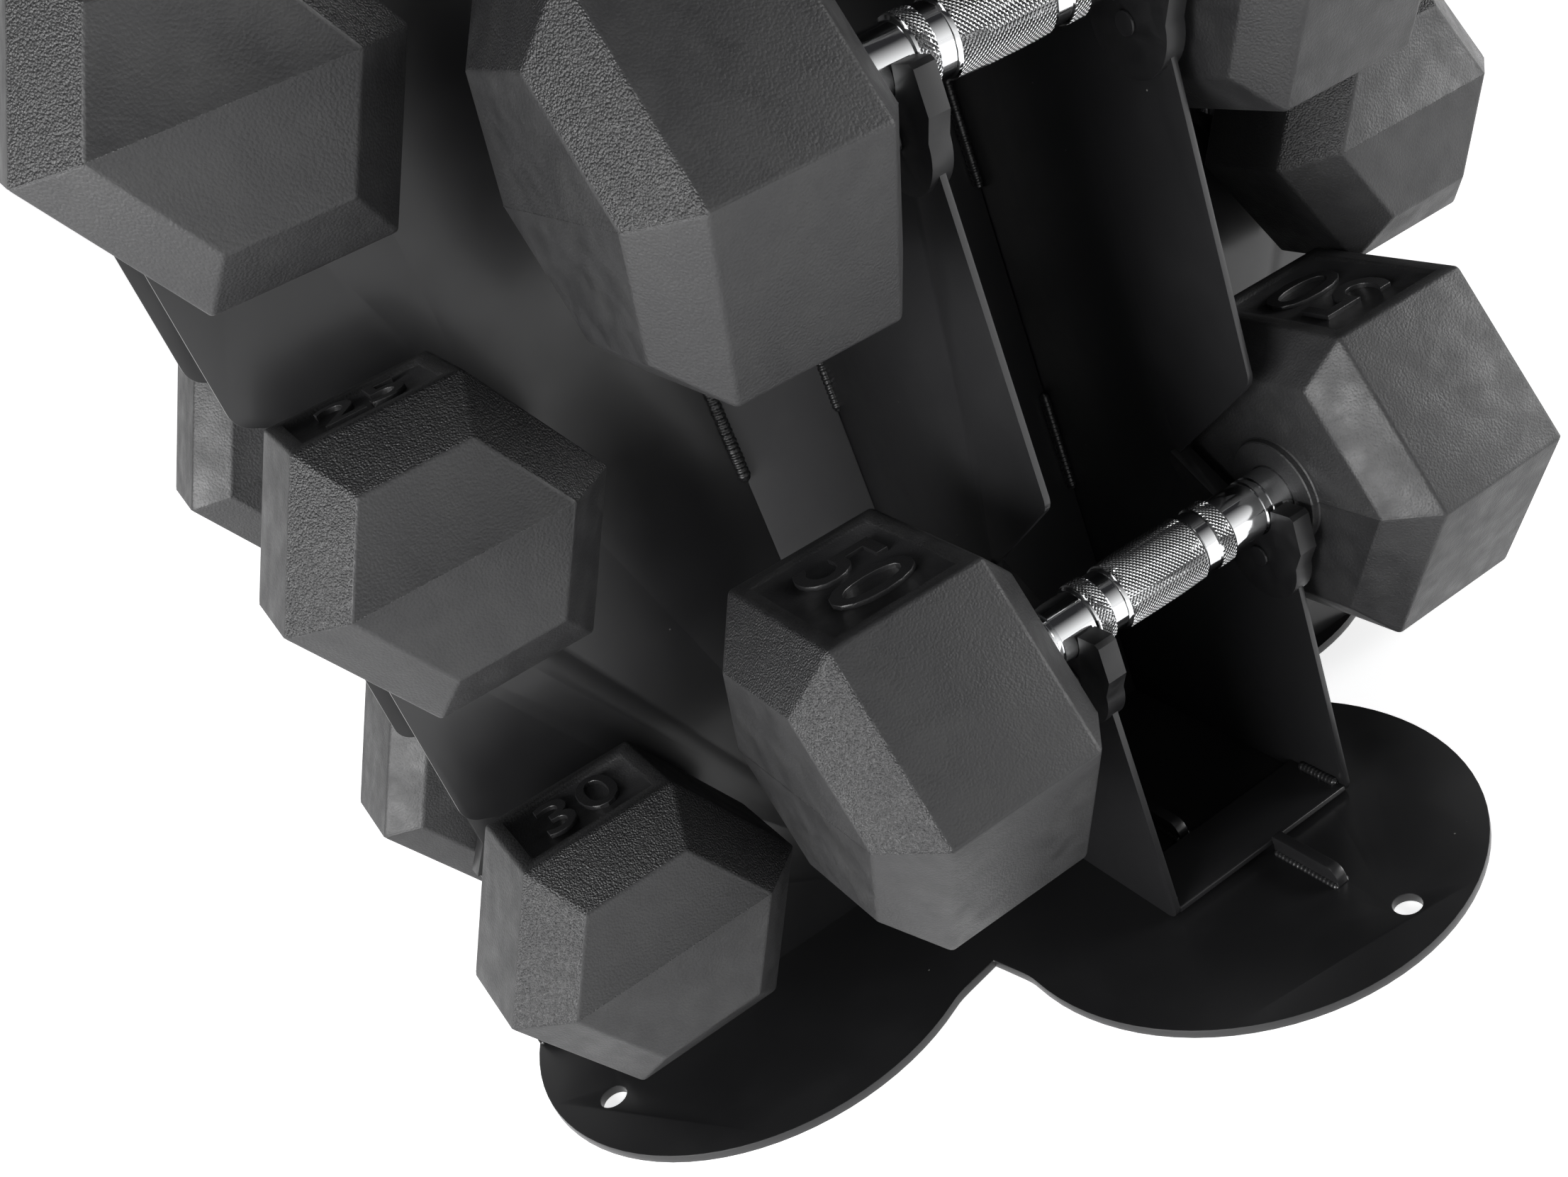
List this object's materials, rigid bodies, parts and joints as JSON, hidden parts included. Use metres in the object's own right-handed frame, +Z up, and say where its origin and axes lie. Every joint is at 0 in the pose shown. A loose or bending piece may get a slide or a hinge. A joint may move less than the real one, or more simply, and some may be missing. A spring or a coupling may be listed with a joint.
{
  "type": "dumbbell rack",
  "caption": "Four-sided floor-standing dumbbell rack: upright sheet-steel channels with lined cradles on a lobed base plate, holding removable hex dumbbells.",
  "frame": {"origin": "middle of the base plate at its underside, on the floor", "axes": "+Z up, -Y out of the front side that holds the heaviest dumbbells, +X to the right seen from the front"},
  "size_m": [0.6229, 0.608, 1.013],
  "materials": {
    "powder_coat": "gloss black powder coat on sheet steel",
    "liner_plastic": "satin black moulded polyethylene",
    "rivet_steel": "black painted steel",
    "head_rubber": "moulded black rubber skin over a cast-iron core",
    "handle_chrome": "polished and knurled chrome plate on steel"
  },
  "bodies": {
    "rack": {"base_plate": "powder_coat", "base_ribs": "powder_coat", "flange_front_far": "powder_coat", "flange_front_near": "powder_coat", "flange_left_far": "powder_coat", "flange_left_near": "powder_coat", "flange_rear_far": "powder_coat", "flange_rear_near": "powder_coat", "flange_right_far": "powder_coat", "flange_right_near": "powder_coat", "liner_rivets": "rivet_steel", "liners_front": "liner_plastic", "liners_left": "liner_plastic", "liners_rear": "liner_plastic", "liners_right": "liner_plastic", "strip_front_left": "powder_coat", "strip_rear_right": "powder_coat", "tie_plates": "powder_coat", "top_cap": "powder_coat", "web_front": "powder_coat", "web_left": "powder_coat", "web_rear": "powder_coat", "web_right": "powder_coat"},
    "front_35lb": {"front_35lb_heads": "head_rubber", "front_35lb_handle": "handle_chrome"},
    "front_40lb": {"front_40lb_heads": "head_rubber", "front_40lb_handle": "handle_chrome"},
    "front_45lb": {"front_45lb_heads": "head_rubber", "front_45lb_handle": "handle_chrome"},
    "front_50lb": {"front_50lb_heads": "head_rubber", "front_50lb_handle": "handle_chrome"},
    "left_10lb": {"left_10lb_heads": "head_rubber", "left_10lb_handle": "handle_chrome"},
    "left_15lb": {"left_15lb_heads": "head_rubber", "left_15lb_handle": "handle_chrome"},
    "left_20lb": {"left_20lb_heads": "head_rubber", "left_20lb_handle": "handle_chrome"},
    "left_25lb": {"left_25lb_heads": "head_rubber", "left_25lb_handle": "handle_chrome"},
    "left_30lb": {"left_30lb_heads": "head_rubber", "left_30lb_handle": "handle_chrome"},
    "right_10lb": {"right_10lb_heads": "head_rubber", "right_10lb_handle": "handle_chrome"},
    "right_15lb": {"right_15lb_heads": "head_rubber", "right_15lb_handle": "handle_chrome"},
    "right_20lb": {"right_20lb_heads": "head_rubber", "right_20lb_handle": "handle_chrome"},
    "right_25lb": {"right_25lb_heads": "head_rubber", "right_25lb_handle": "handle_chrome"}
  },
  "joints": [
    {"name": "lift_front_35lb", "type": "slide", "parent": "rack", "child": "front_35lb", "axis": [0, -0.766, 0.6428], "range_m": [0, 0.27]},
    {"name": "lift_front_40lb", "type": "slide", "parent": "rack", "child": "front_40lb", "axis": [0, -0.766, 0.6428], "range_m": [0, 0.27]},
    {"name": "lift_front_45lb", "type": "slide", "parent": "rack", "child": "front_45lb", "axis": [0, -0.766, 0.6428], "range_m": [0, 0.27]},
    {"name": "lift_front_50lb", "type": "slide", "parent": "rack", "child": "front_50lb", "axis": [0, -0.766, 0.6428], "range_m": [0, 0.27]},
    {"name": "lift_left_10lb", "type": "slide", "parent": "rack", "child": "left_10lb", "axis": [-0.766, 0, 0.6428], "range_m": [0, 0.22]},
    {"name": "lift_left_15lb", "type": "slide", "parent": "rack", "child": "left_15lb", "axis": [-0.766, 0, 0.6428], "range_m": [0, 0.22]},
    {"name": "lift_left_20lb", "type": "slide", "parent": "rack", "child": "left_20lb", "axis": [-0.766, 0, 0.6428], "range_m": [0, 0.22]},
    {"name": "lift_left_25lb", "type": "slide", "parent": "rack", "child": "left_25lb", "axis": [-0.766, 0, 0.6428], "range_m": [0, 0.22]},
    {"name": "lift_left_30lb", "type": "slide", "parent": "rack", "child": "left_30lb", "axis": [-0.766, 0, 0.6428], "range_m": [0, 0.22]},
    {"name": "lift_right_10lb", "type": "slide", "parent": "rack", "child": "right_10lb", "axis": [0.766, 0, 0.6428], "range_m": [0, 0.22]},
    {"name": "lift_right_15lb", "type": "slide", "parent": "rack", "child": "right_15lb", "axis": [0.766, 0, 0.6428], "range_m": [0, 0.22]},
    {"name": "lift_right_20lb", "type": "slide", "parent": "rack", "child": "right_20lb", "axis": [0.766, 0, 0.6428], "range_m": [0, 0.22]},
    {"name": "lift_right_25lb", "type": "slide", "parent": "rack", "child": "right_25lb", "axis": [0.766, 0, 0.6428], "range_m": [0, 0.22]}
  ]
}
